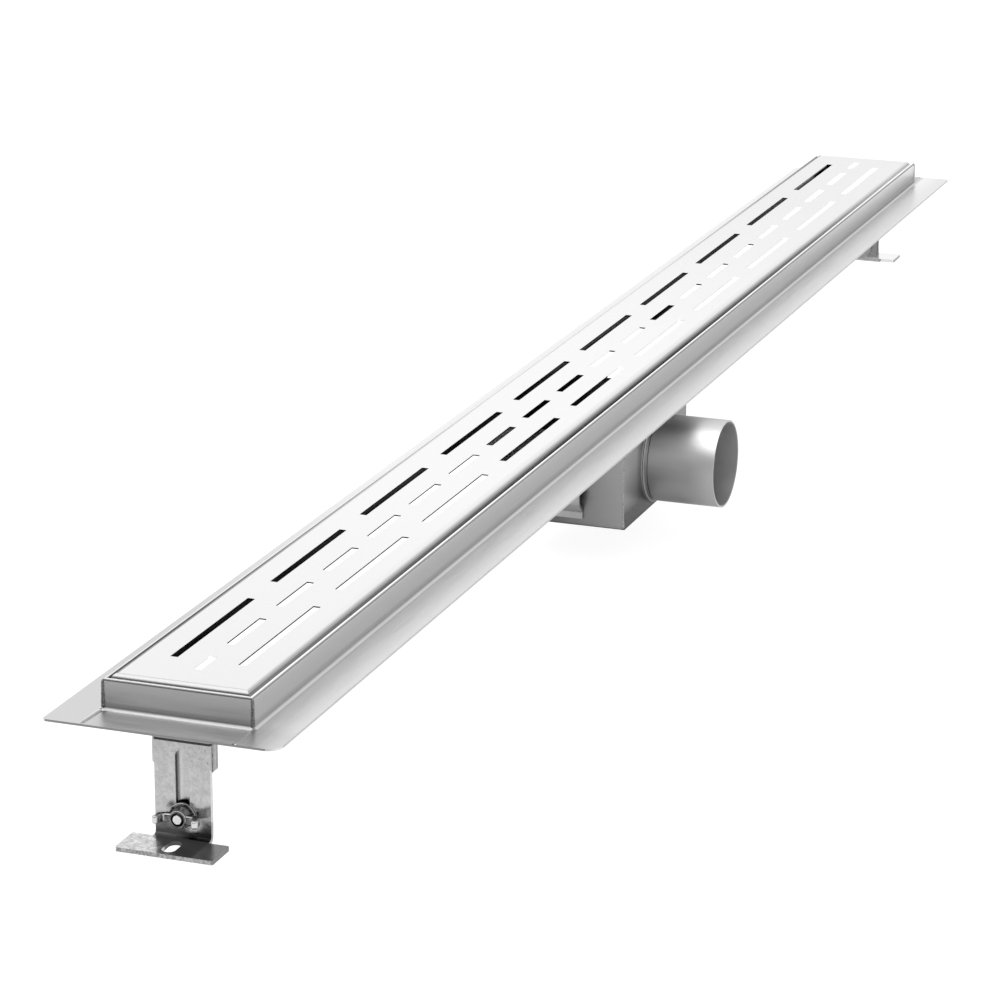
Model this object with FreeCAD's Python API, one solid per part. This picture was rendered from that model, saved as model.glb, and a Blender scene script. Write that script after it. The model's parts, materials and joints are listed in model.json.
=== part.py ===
import FreeCAD
import Part
import math
import os

# Linear shower drain: a folded channel with a screed flange, a slotted grate resting in it,
# a trap box with a removable water trap, a side outlet pipe and two feet that adjust in height.
# X runs along the channel, Y across it, Z is up, and the outlet points to -Y.
# Heights are drawn from the top of the flange. At the end every piece is raised by BOX_BOTTOM,
# so that the origin lies under the middle of the trap box, on the floor that it rests on.

# Channel frame, in millimetres
FRAME_LENGTH = 1160.0
FRAME_WIDTH = 72.0
FLANGE_REACH = 20.0
FLANGE_CORNER = 2.0
NEAR_OUTLET_CORNER = 7.0
RIM_HEIGHT = 14.5
SHEET = 1.0
FLANGE_BEND = 2.4
TROUGH_BEND = 1.6
HEM_GAP = 0.2
SEAT_BEND = 0.5
TROUGH_WIDTH = 56.0
FLOOR_DEPTH_END = 5.0
FLOOR_DEPTH_MIDDLE = 12.0

# Grate
GRATE_SHEET = 0.8
GRATE_GAP = 0.5
GRATE_PROUD = 1.5
GRATE_EDGE = 3.0
SLOT_WIDTH = 3.7
SLOT_PITCH = 112.0
LONG_SLOT = 86.0
SHORT_SLOT = 37.0
END_SLOT = 18.0
END_SLOT_CENTRE = 549.5
LONG_ROWS = 10
ROW_SPACING = 16.5

# Trap box and outlet
BOX_LENGTH = 115.0
BOX_WIDTH = 65.5
BOX_BOTTOM = 66.5
BOX_SHEET = 1.5
BOX_BEND = 0.8
PIPE_RADIUS = 25.0
PIPE_WALL = 1.0
PIPE_AXIS_DEPTH = 38.8
PIPE_REACH = 74.6
WELD_BEAD = 1.5

# Recess in the channel floor and the trap that lies in it
RECESS_LENGTH = 109.0
RECESS_WIDTH = 50.0
RECESS_DEPTH = 3.0
RECESS_LEDGE = 4.0
RECESS_CORNER = 5.0
TRAP_PLAY = 0.5
GASKET_THICKNESS = 1.5
TRAP_WALL = 1.5
INLET_LENGTH = 70.0
INLET_WIDTH = 22.0
DIP_DEPTH = 56.0
CUP_LENGTH = 97.0
CUP_WIDTH = 37.0
CUP_RIM_DEPTH = 26.0
CUP_BOTTOM_DEPTH = 62.0
CUP_ARM_WIDTH = 16.0
CUP_TAB_WIDTH = 11.0
CUP_ARM_LAP = 4.0
LIFT_BAR = 3.0

# Bonding lug on the near end of the trap box
LUG_WIDTH = 18.0
LUG_STANDOFF = 6.0
LUG_ROOT_DEPTH = 61.5
LUG_JOGGLE_DEPTH = 57.5
LUG_BEND = 1.5
LUG_TOP_DEPTH = 38.0
LUG_HOLE_DEPTH = 46.0
LUG_HOLE = 3.3

# Feet: the plate slides on a bracket under each end of the channel
FOOT_SHEET = 2.0
FOOT_INSET = 3.5
FOOT_WIDTH = 27.0
FOOT_TOP_DEPTH = 9.0
FOOT_BEND = 2.0
SOLE_DEPTH = 58.5
SOLE_WIDTH = 47.0
SOLE_REACH = 21.4
SOLE_NECK = 3.0
SOLE_CORNER = 1.0
SOLE_HOLE_WIDTH = 6.5
SOLE_HOLE_LENGTH = 13.0
FOOT_SLOT_WIDTH = 6.6
FOOT_SLOT_TOP_DEPTH = 15.4
FOOT_PLAY = 0.3

BRACKET_SHEET = 2.0
BRACKET_BEND = 1.0
BRACKET_WIDTH = 30.8
BRACKET_SHOULDER_DEPTH = 23.5
BRACKET_SHOULDER_SLANT = 2.7
BRACKET_TONGUE_WIDTH = 25.0
BRACKET_TONGUE_END_DEPTH = 54.0
BRACKET_TAB = 18.0
BRACKET_HOLE = 6.5

BOLT_DEPTH = 46.2
BOLT_RADIUS = 3.0
BOLT_CHAMFER = 1.0
BOLT_PROUD = 0.5
BOLT_HEAD_FLATS = 10.0
BOLT_HEAD_HEIGHT = 4.0
REAR_WASHER_RADIUS = 9.0
REAR_WASHER_THICKNESS = 1.6
FRONT_WASHER_RADIUS = 6.0
FRONT_WASHER_THICKNESS = 1.0
WASHER_HOLE = 3.2

NUT_BORE = 3.05
NUT_HUB_HEIGHT = 4.6
NUT_BASE_RADIUS = 4.8
NUT_TOP_RADIUS = 4.0
NUT_HUB_ROUND = 0.5
WING_THICKNESS = 4.0
WING_ROUND = 1.0
WING_ROOT = 2.5
WING_REACH = 11.2
WING_LIFT = 8.8
WING_TIP = 3.0

# Worked out from the sizes above
HALF_FRAME = FRAME_LENGTH / 2
HALF_WIDTH = FRAME_WIDTH / 2
HALF_SHEET = SHEET / 2
FLANGE_END = HALF_FRAME + FLANGE_REACH
FLANGE_SIDE = HALF_WIDTH + FLANGE_REACH
HEM_WIDTH = 2 * SHEET + HEM_GAP
INNER_END = HALF_FRAME - HEM_WIDTH
INNER_SIDE = HALF_WIDTH - HEM_WIDTH
TROUGH_OUTSIDE = TROUGH_WIDTH / 2 + SHEET
SEAT_JOIN = (INNER_SIDE + TROUGH_WIDTH / 2) / 2
FAR_AWAY = 800.0


def vec(x, y, z):
    return FreeCAD.Vector(x, y, z)


def box(x_range, y_range, z_range):
    corner = vec(x_range[0], y_range[0], z_range[0])
    return Part.makeBox(
        x_range[1] - x_range[0],
        y_range[1] - y_range[0],
        z_range[1] - z_range[0],
        corner,
    )


def rod(radius, start, direction, length):
    return Part.makeCylinder(radius, length, start, direction)


def unit(a, b):
    length = math.hypot(b[0] - a[0], b[1] - a[1])
    return ((b[0] - a[0]) / length, (b[1] - a[1]) / length)


def corner_arc(before, corner, after, radius):
    """Start, middle, end and centre of the arc that rounds a corner, and its turn to the left."""
    come = unit(before, corner)
    go = unit(corner, after)
    cross = come[0] * go[1] - come[1] * go[0]
    dot = come[0] * go[0] + come[1] * go[1]
    turn = math.atan2(cross, dot)
    side = math.copysign(1.0, turn)
    trim = radius * math.tan(abs(turn) / 2)
    start = (corner[0] - come[0] * trim, corner[1] - come[1] * trim)
    end = (corner[0] + go[0] * trim, corner[1] + go[1] * trim)
    centre = (start[0] - come[1] * radius * side, start[1] + come[0] * radius * side)
    out = unit(centre, corner)
    middle = (centre[0] + out[0] * radius, centre[1] + out[1] * radius)
    return start, middle, end, centre, side


def closed_face(pieces, place):
    """A face from a closed run of lines (two points) and arcs (three points)."""
    edges = []
    for piece in pieces:
        points = [place(*point) for point in piece]
        if len(points) == 3:
            edges.append(Part.Arc(points[0], points[1], points[2]).toShape())
        elif points[0].distanceToPoint(points[1]) > 1e-6:
            edges.append(Part.LineSegment(points[0], points[1]).toShape())
    return Part.Face(Part.Wire(edges))


def rounded_face(corners, radii, place):
    """A face with the given corners, each rounded by its own radius (0 leaves it sharp)."""
    count = len(corners)
    arcs = []
    for i in range(count):
        if radii[i] > 0:
            arcs.append(corner_arc(corners[i - 1], corners[i], corners[(i + 1) % count], radii[i])[:3])
        else:
            arcs.append(None)
    pieces = []
    for i in range(count):
        following = arcs[(i + 1) % count]
        if arcs[i]:
            pieces.append(arcs[i])
        leave = arcs[i][2] if arcs[i] else corners[i]
        arrive = following[0] if following else corners[(i + 1) % count]
        pieces.append((leave, arrive))
    return closed_face(pieces, place)


def strip_face(path, thickness, inside_radii, place):
    """The section of a bent strip: path is its middle line, with one inside radius for each bend."""
    half = thickness / 2
    left = []
    right = []
    for i in range(1, len(path) - 1):
        radius = inside_radii[i - 1] + half
        start, middle, end, centre, side = corner_arc(path[i - 1], path[i], path[i + 1], radius)
        for points, offset in ((left, half), (right, -half)):
            grow = (radius - side * offset) / radius
            points.append([(centre[0] + (p[0] - centre[0]) * grow, centre[1] + (p[1] - centre[1]) * grow)
                           for p in (start, middle, end)])
    ends = []
    for here, way in ((path[0], unit(path[0], path[1])), (path[-1], unit(path[-2], path[-1]))):
        ends.append([(here[0] - way[1] * offset, here[1] + way[0] * offset) for offset in (half, -half)])
    pieces = []
    last = ends[0][0]
    for arc in left:
        pieces.append((last, arc[0]))
        pieces.append(tuple(arc))
        last = arc[2]
    pieces.append((last, ends[1][0]))
    pieces.append((ends[1][0], ends[1][1]))
    last = ends[1][1]
    for arc in reversed(right):
        pieces.append((last, arc[2]))
        pieces.append((arc[2], arc[1], arc[0]))
        last = arc[0]
    pieces.append((last, ends[0][1]))
    pieces.append((ends[0][1], ends[0][0]))
    return closed_face(pieces, place)


def rectangle(half_length, half_width, corner, z):
    """A flat rectangle round the Z axis, with rounded corners."""
    corners = [
        (half_length, half_width),
        (-half_length, half_width),
        (-half_length, -half_width),
        (half_length, -half_width),
    ]
    return rounded_face(corners, [corner] * 4, lambda x, y: vec(x, y, z))


def prism(half_length, half_width, corner, z_low, z_high):
    return rectangle(half_length, half_width, corner, z_low).extrude(vec(0, 0, z_high - z_low))


def far_side(shape):
    """The same piece at the other end of the channel."""
    return shape.mirror(vec(0, 0, 0), vec(1, 0, 0))


def floor_top(x):
    """Height of the channel floor, which falls from both ends to the trap."""
    fall = FLOOR_DEPTH_MIDDLE - FLOOR_DEPTH_END
    return -FLOOR_DEPTH_MIDDLE + fall * abs(x) / INNER_END


def rim_path(flange_edge, outer_face, foot):
    """Middle line of flange, upstand and hem, then straight down the inside to the foot."""
    outer_leg = outer_face - HALF_SHEET
    inner_leg = outer_leg - SHEET - HEM_GAP
    top = RIM_HEIGHT - HALF_SHEET
    return [
        (flange_edge, -HALF_SHEET),
        (outer_leg, -HALF_SHEET),
        (outer_leg, top),
        (inner_leg, top),
        (inner_leg, foot),
    ]


def cap_plan():
    """Plan of what belongs to the near end cap: mitred at the rim, straight across the flange."""
    corners = [
        (-FLANGE_END - 1, HALF_WIDTH),
        (-FLANGE_END - 1, -HALF_WIDTH),
        (-HALF_FRAME, -HALF_WIDTH),
        (-INNER_END, -INNER_SIDE),
        (-INNER_END, INNER_SIDE),
        (-HALF_FRAME, HALF_WIDTH),
    ]
    low = -2 * FLOOR_DEPTH_MIDDLE
    face = rounded_face(corners, [0] * 6, lambda x, y: vec(x, y, low))
    return face.extrude(vec(0, 0, 2 * RIM_HEIGHT - low))


def trough_half(x_end):
    """The trough from the middle of the channel to one end, under the two seats."""
    wall = TROUGH_OUTSIDE - HALF_SHEET
    sections = []
    for x in (0.0, x_end):
        floor = floor_top(x) - HALF_SHEET
        path = [
            (SEAT_JOIN, -HALF_SHEET),
            (wall, -HALF_SHEET),
            (wall, floor),
            (-wall, floor),
            (-wall, -HALF_SHEET),
            (-SEAT_JOIN, -HALF_SHEET),
        ]
        radii = [SEAT_BEND, TROUGH_BEND, TROUGH_BEND, SEAT_BEND]
        face = strip_face(path, SHEET, radii, lambda y, z, x=x: vec(x, y, z))
        sections.append(face.OuterWire)
    return Part.makeLoft(sections, True, True)


def make_channel():
    path = rim_path(FLANGE_SIDE, HALF_WIDTH, -HALF_SHEET) + [(SEAT_JOIN, -HALF_SHEET)]
    radii = [FLANGE_BEND, HEM_GAP / 2, HEM_GAP / 2, SEAT_BEND]
    right = strip_face(path, SHEET, radii, lambda y, z: vec(-FLANGE_END, -y, z))
    left = strip_face(path, SHEET, radii, lambda y, z: vec(-FLANGE_END, y, z))
    whole = vec(2 * FLANGE_END, 0, 0)
    body = right.extrude(whole).fuse([left.extrude(whole), trough_half(-INNER_END), trough_half(INNER_END)])
    body = body.cut([cap_plan(), far_side(cap_plan())])
    # past the mitred corners the side flanges go on flat, up to the end caps' flange
    for end in (-1, 1):
        ends = sorted((end * HALF_FRAME, end * FAR_AWAY))
        body = body.cut(box(ends, (-FLANGE_SIDE, FLANGE_SIDE), (0, RIM_HEIGHT + 1)))
        for side in (-1, 1):
            flat = sorted((side * HALF_WIDTH, side * (HALF_WIDTH + 2 * FLANGE_BEND)))
            body = body.fuse(box(ends, flat, (-SHEET, 0)))
    return add_recess(body.common(flange_outline())).removeSplitter()


def flange_outline():
    """All that lies within the flange's cut edge; one corner is cut rounder than the others."""
    corners = [
        (-FLANGE_END, -FLANGE_SIDE),
        (FLANGE_END, -FLANGE_SIDE),
        (FLANGE_END, FLANGE_SIDE),
        (-FLANGE_END, FLANGE_SIDE),
    ]
    radii = [NEAR_OUTLET_CORNER, FLANGE_CORNER, FLANGE_CORNER, FLANGE_CORNER]
    outline = rounded_face(corners, radii, lambda x, y: vec(x, y, -BOX_BOTTOM))
    return outline.extrude(vec(0, 0, 2 * BOX_BOTTOM))


def add_recess(body):
    """Press the trap's seat into the lowest part of the floor and open its middle."""
    half_length = RECESS_LENGTH / 2
    half_width = RECESS_WIDTH / 2
    ledge_top = -FLOOR_DEPTH_MIDDLE - RECESS_DEPTH
    pan = prism(
        half_length + SHEET,
        half_width + SHEET,
        RECESS_CORNER + SHEET,
        ledge_top - SHEET,
        -FLOOR_DEPTH_MIDDLE - HALF_SHEET,
    )
    pocket = prism(half_length, half_width, RECESS_CORNER, ledge_top, 0)
    opening = prism(half_length - RECESS_LEDGE, half_width - RECESS_LEDGE, RECESS_CORNER, -BOX_BOTTOM, 0)
    return body.fuse(pan).cut([pocket, opening])


def make_end_cap():
    """Near end cap: flange, upstand, hem and end wall of the trough, folded from one strip."""
    foot = floor_top(INNER_END) - SHEET
    path = rim_path(FLANGE_END, HALF_FRAME, foot)
    face = strip_face(path, SHEET, [FLANGE_BEND, HEM_GAP / 2, HEM_GAP / 2], lambda x, z: vec(-x, -HALF_WIDTH, z))
    cap = face.extrude(vec(0, FRAME_WIDTH, 0)).common(cap_plan())
    wall_zone = (-HALF_FRAME + SHEET, -INNER_END + 1)
    for side in (-1, 1):
        beside = sorted((side * TROUGH_OUTSIDE, side * FRAME_WIDTH))
        cap = cap.cut(box(wall_zone, beside, (-FAR_AWAY, -SHEET)))
    return cap


def slot_cutter(length, centre_x, centre_y):
    return box(
        (centre_x - length / 2, centre_x + length / 2),
        (centre_y - SLOT_WIDTH / 2, centre_y + SLOT_WIDTH / 2),
        (0, 2 * RIM_HEIGHT),
    )


def grate_slots():
    cutters = []
    first = -(LONG_ROWS - 1) / 2 * SLOT_PITCH
    for i in range(LONG_ROWS):
        for y in (-ROW_SPACING, ROW_SPACING):
            cutters.append(slot_cutter(LONG_SLOT, first + i * SLOT_PITCH, y))
    for i in range(2 * LONG_ROWS - 1):
        cutters.append(slot_cutter(SHORT_SLOT, first + i * SLOT_PITCH / 2, 0))
    for side in (-1, 1):
        cutters.append(slot_cutter(END_SLOT, side * END_SLOT_CENTRE, 0))
    return cutters


def tray(half_length, half_width, top, bottom, edge):
    """A block with rounded top edges that meet in mitred corners."""
    block = box((-half_length, half_length), (-half_width, half_width), (bottom, top))
    upper = [e for e in block.Edges if all(abs(v.Z - top) < 1e-6 for v in e.Vertexes)]
    return block.makeFillet(edge, upper)


def make_grate():
    top = RIM_HEIGHT + GRATE_PROUD
    half_length = INNER_END - GRATE_GAP
    half_width = INNER_SIDE - GRATE_GAP
    outside = tray(half_length, half_width, top, 0, GRATE_EDGE)
    inside = tray(
        half_length - GRATE_SHEET,
        half_width - GRATE_SHEET,
        top - GRATE_SHEET,
        -1,
        GRATE_EDGE - GRATE_SHEET,
    )
    return outside.cut(inside).cut(grate_slots())


def trough_envelope():
    """What the trough fills, as cut out of the trap box's end walls."""
    parts = []
    for x_end in (-INNER_END, INNER_END):
        wires = []
        for x in (0.0, x_end):
            low = floor_top(x) - SHEET
            corners = [(TROUGH_OUTSIDE, 0), (-TROUGH_OUTSIDE, 0), (-TROUGH_OUTSIDE, low), (TROUGH_OUTSIDE, low)]
            round_low = TROUGH_BEND + SHEET
            face = rounded_face(corners, [0, 0, round_low, round_low], lambda y, z, x=x: vec(x, y, z))
            wires.append(face.OuterWire)
        parts.append(Part.makeLoft(wires, True, True))
    return parts


def make_trap_shell():
    """Both end walls and the base of the trap box, folded from one sheet."""
    wall = (BOX_LENGTH - BOX_SHEET) / 2
    base = -BOX_BOTTOM + BOX_SHEET / 2
    path = [(-wall, -SHEET), (-wall, base), (wall, base), (wall, -SHEET)]
    inside = BOX_WIDTH / 2 - BOX_SHEET
    face = strip_face(path, BOX_SHEET, [BOX_BEND, BOX_BEND], lambda x, z: vec(x, -inside, z))
    return face.extrude(vec(0, 2 * inside, 0)).cut(trough_envelope())


def make_trap_side(side):
    """A side plate of the trap box; side is -1 where the outlet is."""
    half = BOX_LENGTH / 2
    corners = [(half, -SHEET), (-half, -SHEET), (-half, -BOX_BOTTOM), (half, -BOX_BOTTOM)]
    round_low = BOX_BEND + BOX_SHEET
    outer = side * BOX_WIDTH / 2
    face = rounded_face(corners, [0, 0, round_low, round_low], lambda x, z: vec(x, outer, z))
    plate = face.extrude(vec(0, -side * BOX_SHEET, 0))
    if side < 0:
        start = vec(0, -BOX_WIDTH, -PIPE_AXIS_DEPTH)
        plate = plate.cut(rod(PIPE_RADIUS, start, vec(0, 1, 0), BOX_WIDTH))
    return plate


def make_outlet_pipe():
    """Outlet tube with the weld bead that closes it to the trap box."""
    mouth = vec(0, -PIPE_REACH, -PIPE_AXIS_DEPTH)
    along = vec(0, 1, 0)
    length = PIPE_REACH - (BOX_WIDTH / 2 - BOX_SHEET)
    tube = rod(PIPE_RADIUS, mouth, along, length)
    bead_centre = vec(0, -BOX_WIDTH / 2, -PIPE_AXIS_DEPTH)
    bead = Part.makeTorus(PIPE_RADIUS, WELD_BEAD, bead_centre, along)
    bead = bead.common(box((-FAR_AWAY, FAR_AWAY), (-FAR_AWAY, -BOX_WIDTH / 2), (-FAR_AWAY, FAR_AWAY)))
    return tube.fuse(bead).cut(rod(PIPE_RADIUS - PIPE_WALL, mouth, along, length)).removeSplitter()


def make_bonding_lug():
    """Joggled lug for the earth wire, welded low on the near end wall of the trap box."""
    root = -(BOX_LENGTH + BOX_SHEET) / 2
    out = root - LUG_STANDOFF
    path = [
        (root, -LUG_ROOT_DEPTH),
        (root, -LUG_JOGGLE_DEPTH),
        (out, -LUG_JOGGLE_DEPTH + LUG_STANDOFF),
        (out, -LUG_TOP_DEPTH),
    ]
    face = strip_face(path, BOX_SHEET, [LUG_BEND, LUG_BEND], lambda x, z: vec(x, -LUG_WIDTH / 2, z))
    lug = face.extrude(vec(0, LUG_WIDTH, 0))
    through = 2 * BOX_SHEET
    return lug.cut(rod(LUG_HOLE, vec(out - through / 2, 0, -LUG_HOLE_DEPTH), vec(1, 0, 0), through))


def arm_places():
    """The cup's two arms stand on the middles of its short sides."""
    return [side * (CUP_LENGTH / 2 - TRAP_WALL / 2) for side in (-1, 1)]


def make_trap_insert():
    """Moulded trap insert: flange, dip tube and a bar across the inlet to lift it by."""
    top = -FLOOR_DEPTH_MIDDLE
    under = top - RECESS_DEPTH + GASKET_THICKNESS
    half_length = RECESS_LENGTH / 2 - TRAP_PLAY
    half_width = RECESS_WIDTH / 2 - TRAP_PLAY
    insert = prism(half_length, half_width, RECESS_CORNER, under, top)
    tube_length = INLET_LENGTH / 2 + TRAP_WALL
    tube_width = INLET_WIDTH / 2 + TRAP_WALL
    insert = insert.fuse(prism(tube_length, tube_width, tube_width * 0.99, -DIP_DEPTH, under))
    inlet_round = INLET_WIDTH / 2 * 0.99
    insert = insert.cut(prism(INLET_LENGTH / 2, INLET_WIDTH / 2, inlet_round, -DIP_DEPTH - 1, top + 1))
    bar = box((-LIFT_BAR / 2, LIFT_BAR / 2), (-tube_width, tube_width), (under - LIFT_BAR, top))
    insert = insert.fuse(bar)
    for x in arm_places():
        tab = (-CUP_TAB_WIDTH / 2, CUP_TAB_WIDTH / 2)
        insert = insert.cut(box((x - TRAP_WALL / 2, x + TRAP_WALL / 2), tab, (under - 1, top + 1)))
    return insert.removeSplitter()


def make_trap_gasket():
    """Flat rubber ring between the insert's flange and the recess."""
    low = -FLOOR_DEPTH_MIDDLE - RECESS_DEPTH
    half_length = RECESS_LENGTH / 2 - TRAP_PLAY
    half_width = RECESS_WIDTH / 2 - TRAP_PLAY
    inner_length = RECESS_LENGTH / 2 - RECESS_LEDGE
    inner_width = RECESS_WIDTH / 2 - RECESS_LEDGE
    ring = prism(half_length, half_width, RECESS_CORNER, low, low + GASKET_THICKNESS)
    return ring.cut(prism(inner_length, inner_width, RECESS_CORNER, low - 1, low + RECESS_DEPTH))


def make_trap_cup():
    """Cup that holds the water seal, hung from the insert by two arms."""
    half_length = CUP_LENGTH / 2
    half_width = CUP_WIDTH / 2
    cup = prism(half_length, half_width, half_width * 0.8, -CUP_BOTTOM_DEPTH, -CUP_RIM_DEPTH)
    cup = cup.cut(prism(
        half_length - TRAP_WALL,
        half_width - TRAP_WALL,
        half_width * 0.8 - TRAP_WALL,
        -CUP_BOTTOM_DEPTH + TRAP_WALL,
        0,
    ))
    under = -FLOOR_DEPTH_MIDDLE - RECESS_DEPTH + GASKET_THICKNESS
    for x in arm_places():
        thick = (x - TRAP_WALL / 2, x + TRAP_WALL / 2)
        arm = box(thick, (-CUP_ARM_WIDTH / 2, CUP_ARM_WIDTH / 2), (-CUP_RIM_DEPTH - CUP_ARM_LAP, under))
        tab = box(thick, (-CUP_TAB_WIDTH / 2, CUP_TAB_WIDTH / 2), (under, -FLOOR_DEPTH_MIDDLE))
        cup = cup.fuse([arm, tab])
    return cup.removeSplitter()


# Feet, made for the near end and mirrored for the far one
PLATE_FRONT = -HALF_FRAME + FOOT_INSET
PLATE_BACK = PLATE_FRONT + FOOT_SHEET
WEB_FRONT = PLATE_BACK + FOOT_PLAY
WEB_BACK = WEB_FRONT + BRACKET_SHEET
HEAD_FACE = WEB_BACK + REAR_WASHER_THICKNESS
WASHER_BACK = PLATE_FRONT - FOOT_PLAY
NUT_BACK = WASHER_BACK - FRONT_WASHER_THICKNESS - FOOT_PLAY
BOLT_END = NUT_BACK - NUT_HUB_HEIGHT - BOLT_PROUD
OUTWARD = FreeCAD.Vector(-1, 0, 0)
SLOT_RADIUS = FOOT_SLOT_WIDTH / 2


def make_bracket():
    """Bracket welded under the channel: a tab, then wide shoulders and a tongue behind the foot."""
    middle = WEB_FRONT + BRACKET_SHEET / 2

    def under_floor(x):
        return floor_top(x) - SHEET - BRACKET_SHEET / 2

    path = [
        (middle, -BRACKET_TONGUE_END_DEPTH),
        (middle, under_floor(middle)),
        (middle + BRACKET_TAB, under_floor(middle + BRACKET_TAB)),
    ]
    face = strip_face(path, BRACKET_SHEET, [BRACKET_BEND], lambda x, z: vec(x, -BRACKET_WIDTH / 2, z))
    bracket = face.extrude(vec(0, BRACKET_WIDTH, 0))
    edge = BRACKET_WIDTH / 2
    tongue = BRACKET_TONGUE_WIDTH / 2
    for side in (-1, 1):
        waste = [
            (side * edge, -BRACKET_SHOULDER_DEPTH),
            (side * FOOT_WIDTH, -BRACKET_SHOULDER_DEPTH),
            (side * FOOT_WIDTH, -SOLE_DEPTH),
            (side * tongue, -SOLE_DEPTH),
            (side * tongue, -BRACKET_SHOULDER_DEPTH - BRACKET_SHOULDER_SLANT),
        ]
        cutter = rounded_face(waste, [0] * 5, lambda y, z: vec(WEB_FRONT - 1, y, z))
        bracket = bracket.cut(cutter.extrude(vec(BRACKET_SHEET + 2, 0, 0)))
    hole = rod(BRACKET_HOLE, vec(WEB_FRONT - 1, 0, -BOLT_DEPTH), vec(1, 0, 0), BRACKET_SHEET + 2)
    return bracket.cut(hole).removeSplitter()


def make_foot():
    """Foot: upright plate with its long slot, bent outward into a wider sole with a fixing hole."""
    half = FOOT_SHEET / 2
    toe = PLATE_FRONT - SOLE_REACH
    sole_middle = -SOLE_DEPTH + half
    path = [(PLATE_FRONT + half, -FOOT_TOP_DEPTH), (PLATE_FRONT + half, sole_middle), (toe, sole_middle)]
    face = strip_face(path, FOOT_SHEET, [FOOT_BEND], lambda x, z: vec(x, -FOOT_WIDTH / 2, z))
    foot = face.extrude(vec(0, FOOT_WIDTH, 0))
    heel = PLATE_FRONT - SOLE_NECK
    half_sole = SOLE_WIDTH / 2
    corners = [(toe, -half_sole), (heel, -half_sole), (heel, half_sole), (toe, half_sole)]
    sole = rounded_face(corners, [SOLE_CORNER] * 4, lambda x, y: vec(x, y, -SOLE_DEPTH))
    foot = foot.fuse(sole.extrude(vec(0, 0, FOOT_SHEET)))
    hole_x = (toe + heel) / 2
    ends = (SOLE_HOLE_LENGTH - SOLE_HOLE_WIDTH) / 2
    radius = SOLE_HOLE_WIDTH / 2
    depth = (-SOLE_DEPTH - 1, -SOLE_DEPTH + FOOT_SHEET + 1)
    fixing = [box((hole_x - ends, hole_x + ends), (-radius, radius), depth)]
    for x in (hole_x - ends, hole_x + ends):
        fixing.append(rod(radius, vec(x, 0, depth[0]), vec(0, 0, 1), depth[1] - depth[0]))
    slot_top = -FOOT_SLOT_TOP_DEPTH - SLOT_RADIUS
    through = (PLATE_FRONT - 1, PLATE_BACK + 1)
    slot = [box(through, (-SLOT_RADIUS, SLOT_RADIUS), (-BOLT_DEPTH, slot_top))]
    for z in (-BOLT_DEPTH, slot_top):
        slot.append(rod(SLOT_RADIUS, vec(through[0], 0, z), vec(1, 0, 0), through[1] - through[0]))
    return foot.cut(fixing + slot).removeSplitter()


def make_bolt():
    """Hexagon bolt through the bracket, with its chamfered end outward."""
    across_corners = BOLT_HEAD_FLATS / math.cos(math.pi / 6)
    corners = []
    for i in range(6):
        angle = math.pi / 3 * i
        corners.append((across_corners / 2 * math.cos(angle), across_corners / 2 * math.sin(angle)))
    face = rounded_face(corners, [0] * 6, lambda y, z: vec(HEAD_FACE, y, z - BOLT_DEPTH))
    head = face.extrude(vec(BOLT_HEAD_HEIGHT, 0, 0))
    length = HEAD_FACE - BOLT_END
    shank = rod(BOLT_RADIUS, vec(HEAD_FACE, 0, -BOLT_DEPTH), OUTWARD, length)
    tip = [e for e in shank.Edges if all(abs(v.X - BOLT_END) < 1e-6 for v in e.Vertexes)]
    return head.fuse(shank.makeChamfer(BOLT_CHAMFER, tip))


def make_washer(radius, thickness, back):
    centre = vec(back, 0, -BOLT_DEPTH)
    return rod(radius, centre, OUTWARD, thickness).cut(rod(WASHER_HOLE, centre, OUTWARD, thickness))


def wing_outline(side):
    """Corners of one wing, as distance from the bolt and distance out from the washer."""
    inner = WING_REACH - WING_TIP
    corners = [
        (WING_ROOT, 0.4),
        (inner - 1.8, 0.7),
        (WING_REACH - 0.9, 3.4),
        (WING_REACH, WING_LIFT - 0.6),
        (inner + 0.1, WING_LIFT),
        (inner - 1.3, 4.3),
        (WING_ROOT, 4.0),
    ]
    radii = [0, 2.0, 1.5, 1.3, 1.1, 1.2, 0]
    low = -BOLT_DEPTH - WING_THICKNESS / 2
    return rounded_face(corners, radii, lambda y, out: vec(NUT_BACK - out, side * y, low))


def make_wing_nut():
    centre = vec(NUT_BACK, 0, -BOLT_DEPTH)
    hub = Part.makeCone(NUT_BASE_RADIUS, NUT_TOP_RADIUS, NUT_HUB_HEIGHT, centre, OUTWARD)
    front = NUT_BACK - NUT_HUB_HEIGHT
    rim = [e for e in hub.Edges if all(abs(v.X - front) < 1e-6 for v in e.Vertexes)]
    nut = hub.makeFillet(NUT_HUB_ROUND, rim)
    for side in (-1, 1):
        wing = wing_outline(side).extrude(vec(0, 0, WING_THICKNESS))
        flat = []
        for edge in wing.Edges:
            level = all(abs(v.Z - edge.Vertexes[0].Z) < 1e-6 for v in edge.Vertexes)
            outside = min(abs(v.Y) for v in edge.Vertexes) > NUT_BASE_RADIUS
            if level and outside:
                flat.append(edge)
        nut = nut.fuse(wing.makeFillet(WING_ROUND, flat))
    return nut.cut(rod(NUT_BORE, centre, OUTWARD, NUT_HUB_HEIGHT + 1)).removeSplitter()


def make_foot_set():
    return {
        "foot_bracket": make_bracket(),
        "foot": make_foot(),
        "foot_bolt": make_bolt(),
        "rear_washer": make_washer(REAR_WASHER_RADIUS, REAR_WASHER_THICKNESS, HEAD_FACE),
        "front_washer": make_washer(FRONT_WASHER_RADIUS, FRONT_WASHER_THICKNESS, WASHER_BACK),
        "wing_nut": make_wing_nut(),
    }


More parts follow.
